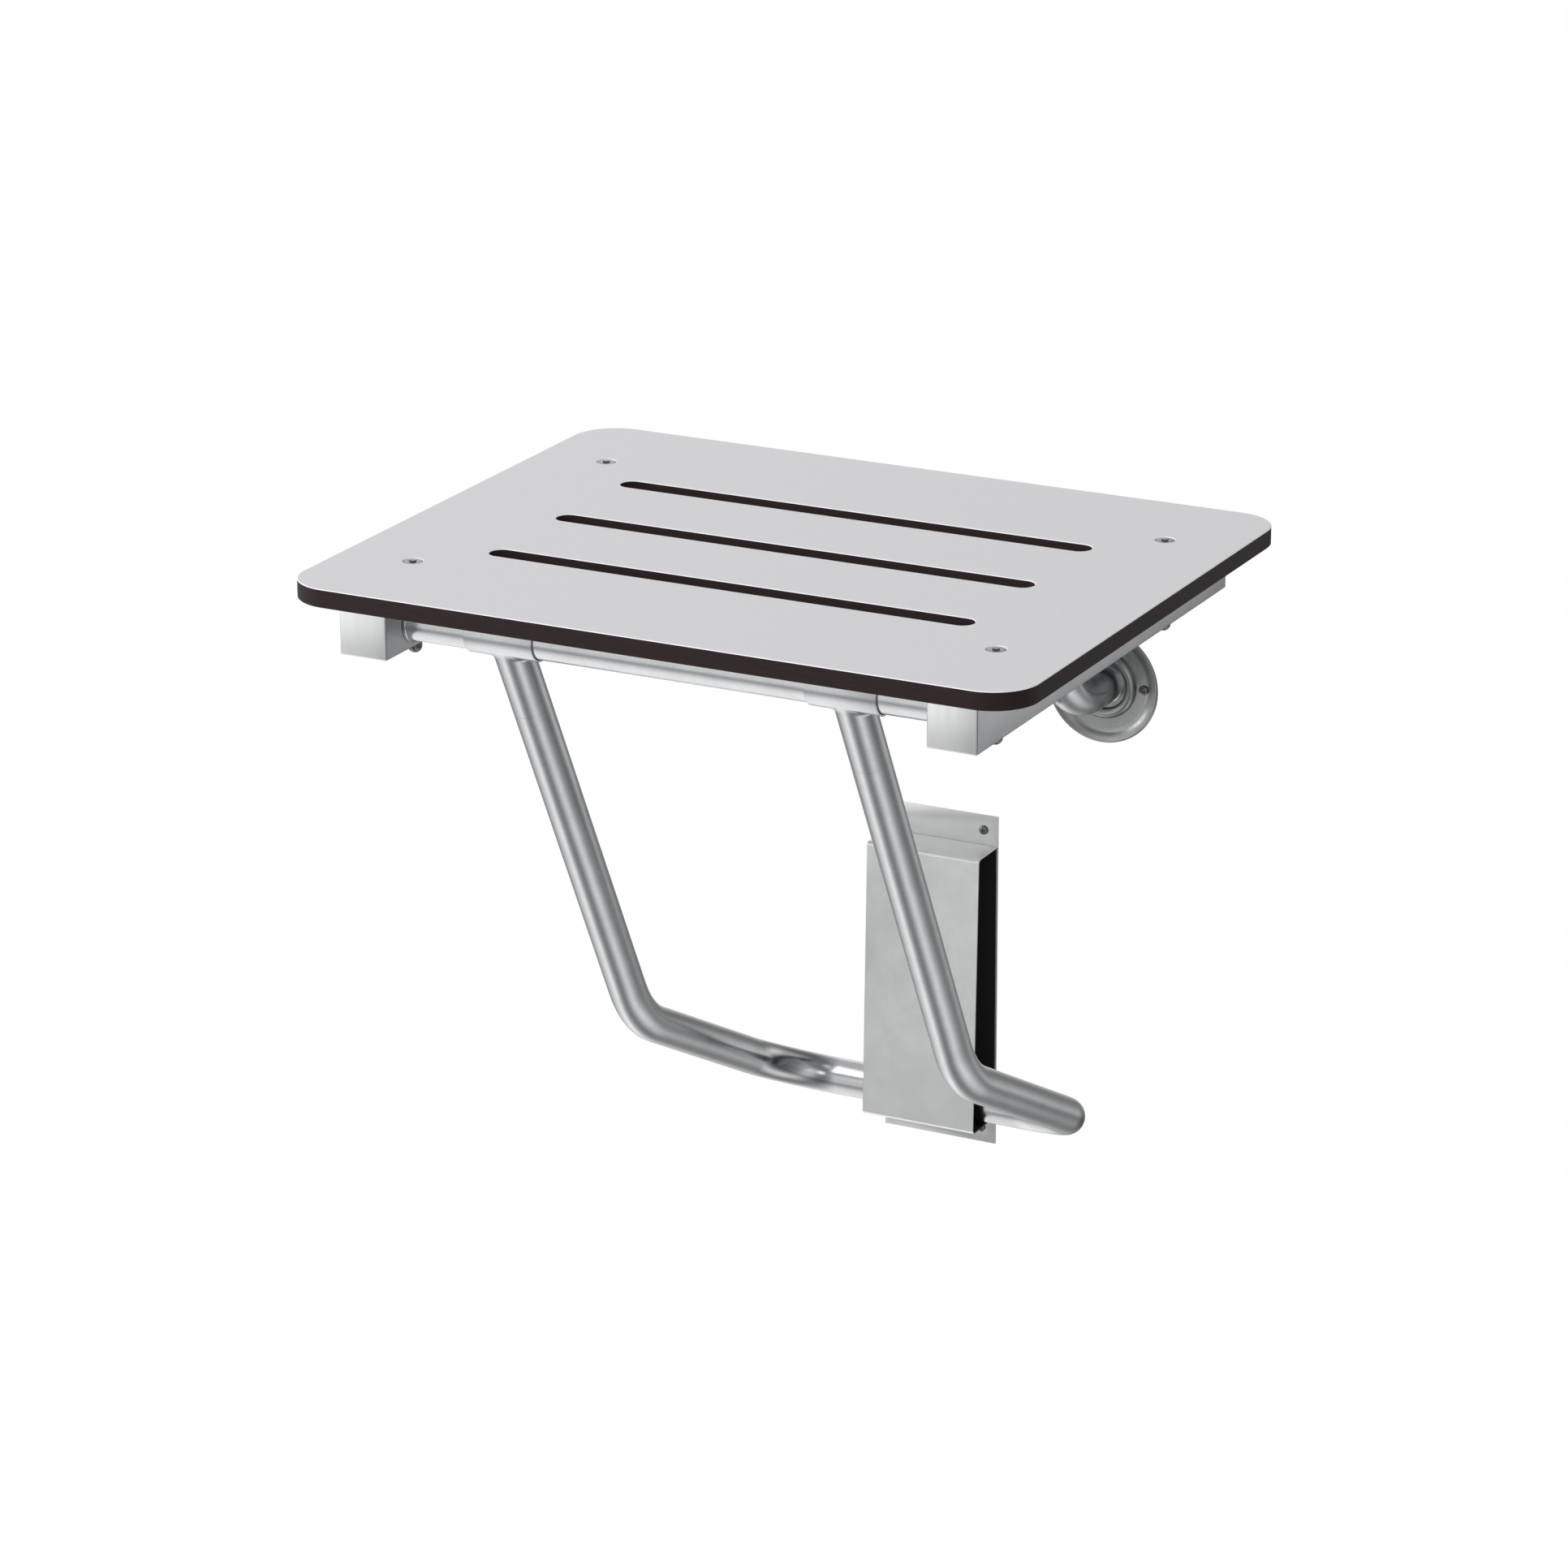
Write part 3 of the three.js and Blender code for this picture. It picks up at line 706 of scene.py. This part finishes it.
def make_wall_screws():
    names = [f"flange_screw_{side}_{end}" for side, _ in SIDES for end, _ in SIDES]
    names += [f"guide_screw_{level}_{side}" for level in ("low", "high") for side, _ in SIDES]
    for name in names:
        low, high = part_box(name)
        place = Vector(((low.x + high.x) / 2, 0, (low.z + high.z) / 2))
        head, top = (high.x - low.x) / 2, -low.y
        seat = top - PAN_DEPTH
        profile = [(0, 0), (PAN_SHANK, 0), (PAN_SHANK, seat),
                   (head - PAN_EDGE, seat), (head, seat + PAN_EDGE)]
        for angle in (pi / 2 * k / 12 for k in range(12)):
            profile.append((head * cos(angle), seat + PAN_SHOULDER + PAN_CROWN * sin(angle)))
        profile.append((0, top))
        screw = piece(f"{name}_detail", solid_lathe(name, profile, place, -Y_AXIS, SMALL_ROUND), "wall",
                      [name], [SCREW_STEEL])
        near, far = -top - MM, -top + RECESS_DEPTH
        cross = [((-RECESS_REACH, -RECESS_ARM), (RECESS_REACH, RECESS_ARM)),
                 ((-RECESS_ARM, -RECESS_REACH), (RECESS_ARM, RECESS_REACH))]
        cutters = [block_mesh("recess", Vector((place.x + a[0], near, place.z + a[1])),
                              Vector((place.x + b[0], far, place.z + b[1])), 0) for a, b in cross]
        cut(screw, cutters)


def make_guide():
    low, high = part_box("guide_back_plate")
    plate = piece("guide_plate_detail", block_mesh("guide_plate", low, high, 0.25 * MM, 2), "wall",
                  ["guide_back_plate"], [LIT_SHEET_STEEL])
    holes = []
    for level in ("low", "high"):
        for side, _ in SIDES:
            screw_low, screw_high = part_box(f"guide_screw_{level}_{side}")
            place = Vector(((screw_low.x + screw_high.x) / 2, 0, (screw_low.z + screw_high.z) / 2))
            holes.append(rod_mesh("hole", SCREW_HOLE, place + Y_AXIS * MM, place - Y_AXIS * 3 * MM))
    cut(plate, holes)
    make_channel()


def make_channel():
    """The guide's front: one sheet folded out, sloping and returned, its inner skin painted near-black as
    shade inside the channel.
    """
    low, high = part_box("guide_channel")
    middle = GUIDE_SHEET / 2
    route = [(Vector((0, high.y, high.z - middle)), 0),
             (Vector((0, middle - GUIDE_TOP_DEPTH, high.z - middle)), GUIDE_FOLD),
             (Vector((0, low.y + middle, low.z + middle)), GUIDE_FOLD),
             (Vector((0, high.y, low.z + middle)), 0)]
    stations = bent_path(route, radians(9))
    skins = []
    for side in (-1, 1):
        skins.append([point + tangent.cross(X_AXIS) * side * GUIDE_SHEET / 2 for point, tangent in stations])
    outline = skins[0] + skins[1][::-1]
    edge = 0.25 * MM
    rows = []
    for x, shrink in ((low.x, edge), (low.x + edge, 0), (high.x - edge, 0), (high.x, edge)):
        row = []
        for i, point in enumerate(outline):
            centre = (outline[i] + outline[-1 - i]) / 2
            row.append(point + (centre - point).normalized() * shrink + X_AXIS * x)
        rows.append(row)
    reach = [0.0]
    for a, b in zip(outline, outline[1:] + outline[:1]):
        reach.append(reach[-1] + (b - a).length)
    mesh = grid_mesh("guide_channel", rows, lambda row, column: (rows[row % 4][0].x, reach[column]))
    # The fold's inner skin takes the near-black painted-shade material.
    shade_painted_first = min(point.y for point in skins[0]) > min(point.y for point in skins[1])
    bm = bmesh.new()
    bm.from_mesh(mesh)
    bm.faces.ensure_lookup_table()
    for face in bm.faces:
        column = face.index % len(outline)
        face.material_index = int((column < len(stations) - 1) == shade_painted_first)
    ends = bmesh.ops.holes_fill(bm, edges=[edge for edge in bm.edges if edge.is_boundary])["faces"]
    bmesh.ops.triangulate(bm, faces=ends)
    bmesh.ops.recalc_face_normals(bm, faces=bm.faces)
    bm.to_mesh(mesh)
    bm.free()
    mesh.set_sharp_from_angle(angle=SHARP_ANGLE)
    piece("guide_channel_folded", mesh, "wall", ["guide_channel"], [LIT_SHEET_STEEL, SHADE_LINER])
    # A thin near-black film on the back plate inside the channel: painted shade, not a part.
    shade_film_low = Vector((low.x + MM, SHADE_FILM_FRONT, low.z + 2 * MM))
    shade_film_high = Vector((high.x - MM, SHADE_FILM_BACK, high.z - 2 * MM))
    film = block_mesh("guide_shade_film", shade_film_low, shade_film_high, 0.05 * MM, 1)
    piece("guide_painted_shade_film", film, "wall", [], [SHADE_LINER])


# ---------------------------------------------------------------- studio
CAMERA_AZIMUTH, CAMERA_ELEVATION, CAMERA_ROLL = radians(27.112), radians(19.186), radians(-0.1676)
CAMERA_DISTANCE, CAMERA_RIGHT, CAMERA_UP = 3.4317, 0.08775, -0.08665
CAMERA_LENS = 132.34
STUDIO_STRENGTH, SUN_STRENGTH = 1.9, 1.5
LIGHT_TARGET = (0, -0.2, 0.15)
# The surround's brightness: levels run from straight down (0) to straight up (1), sides from left to right.
WORLD_LEVELS = [(0.0, 0.95), (0.08, 1.0), (0.165, 0.7), (0.215, 0.42), (0.27, 0.28), (0.32, 0.5),
                (0.35, 0.8), (0.5, 0.75), (0.66, 1.0), (0.8, 0.55), (1.0, 0.6)]
WORLD_SIDES = [(0.0, 0.55), (0.16, 0.62), (0.28, 0.82), (0.35, 0.42), (0.46, 0.16), (0.575, 0.18),
               (0.67, 0.45), (0.755, 0.66), (0.82, 0.5), (0.865, 0.3), (1.0, 0.08)]


def make_camera():
    """The photograph's view, aimed from the middle of the seat's front top edge."""
    back = Vector((sin(CAMERA_AZIMUTH) * cos(CAMERA_ELEVATION), -cos(CAMERA_AZIMUTH) * cos(CAMERA_ELEVATION),
                   sin(CAMERA_ELEVATION)))
    right = Vector((cos(CAMERA_AZIMUTH), sin(CAMERA_AZIMUTH), 0))
    up = back.cross(right)
    turned_right = right * cos(CAMERA_ROLL) + up * sin(CAMERA_ROLL)
    turned_up = up * cos(CAMERA_ROLL) - right * sin(CAMERA_ROLL)
    aim = Vector((0, panel_low.y, panel_high.z))
    data = bpy.data.cameras.new("camera")
    data.lens = CAMERA_LENS
    data.sensor_width = 36
    data.clip_end = 50
    camera = bpy.data.objects.new("camera", data)
    bpy.context.scene.collection.objects.link(camera)
    camera.location = aim + back * CAMERA_DISTANCE + turned_right * CAMERA_RIGHT + turned_up * CAMERA_UP
    camera.rotation_mode = "QUATERNION"
    camera.rotation_quaternion = Matrix((turned_right, turned_up, back)).transposed().to_quaternion()
    bpy.context.scene.camera = camera


def soft_light(name, place, size, power):
    data = bpy.data.lights.new(name, "AREA")
    data.shape = "RECTANGLE"
    data.size, data.size_y = size
    data.energy = power
    lamp = bpy.data.objects.new(name, data)
    bpy.context.scene.collection.objects.link(lamp)
    lamp.location = place
    lamp.rotation_mode = "QUATERNION"
    lamp.rotation_quaternion = (Vector(LIGHT_TARGET) - Vector(place)).to_track_quat("-Z", "Y")


def make_world():
    """A pale surround, with the bright and dark bands of a photo studio for the metal to reflect."""
    world = bpy.data.worlds.new("studio")
    bpy.context.scene.world = world
    nodes = Nodes(world)
    tree = nodes.tree
    tree.nodes.clear()
    direction = nodes.add("ShaderNodeTexCoord").outputs["Generated"]
    parts = nodes.add("ShaderNodeSeparateXYZ")
    nodes.link(direction, parts.inputs["Vector"])
    height = nodes.add("ShaderNodeMapRange", From_Min=-1.0, From_Max=1.0)
    nodes.link(parts.outputs["Z"], height.inputs["Value"])
    levels = nodes.ramp(height.outputs["Result"], WORLD_LEVELS)
    across = nodes.add("ShaderNodeMapRange", From_Min=-1.0, From_Max=1.0)
    nodes.link(parts.outputs["X"], across.inputs["Value"])
    sides = nodes.ramp(across.outputs["Result"], WORLD_SIDES)
    mixed = nodes.add("ShaderNodeMixRGB", blend_type="MULTIPLY", Fac=1.0)
    nodes.link(levels, mixed.inputs["Color1"])
    nodes.link(sides, mixed.inputs["Color2"])
    lit = nodes.add("ShaderNodeBackground", Strength=STUDIO_STRENGTH)
    nodes.link(mixed.outputs["Color"], lit.inputs["Color"])
    plain = nodes.add("ShaderNodeBackground", Color=(1, 1, 1, 1), Strength=1.0)
    seen = nodes.add("ShaderNodeLightPath")
    blend = nodes.add("ShaderNodeMixShader")
    nodes.link(seen.outputs["Is Camera Ray"], blend.inputs["Fac"])
    nodes.link(lit.outputs["Background"], blend.inputs[1])
    nodes.link(plain.outputs["Background"], blend.inputs[2])
    output = nodes.add("ShaderNodeOutputWorld")
    nodes.link(blend.outputs["Shader"], output.inputs["Surface"])


def make_studio():
    bpy.context.scene.view_settings.view_transform = "Standard"
    make_world()
    sun = bpy.data.lights.new("soft_sun", "SUN")
    sun.energy, sun.angle = SUN_STRENGTH, radians(40)
    lamp = bpy.data.objects.new("soft_sun", sun)
    bpy.context.scene.collection.objects.link(lamp)
    lamp.rotation_euler = (radians(24), radians(-20), 0)
    soft_light("left_strip", (-2.2, -1.4, 0.9), (0.5, 1.8), 9)
    soft_light("front_fill", (0.4, -3.4, 1.3), (0.9, 0.9), 5)


make_camera()
make_panel()
make_seat_screws()
make_rails()
make_cross_tubes()
make_legs()
make_glide()
make_posts()
make_flanges()
make_wall_screws()
make_guide()
make_studio()
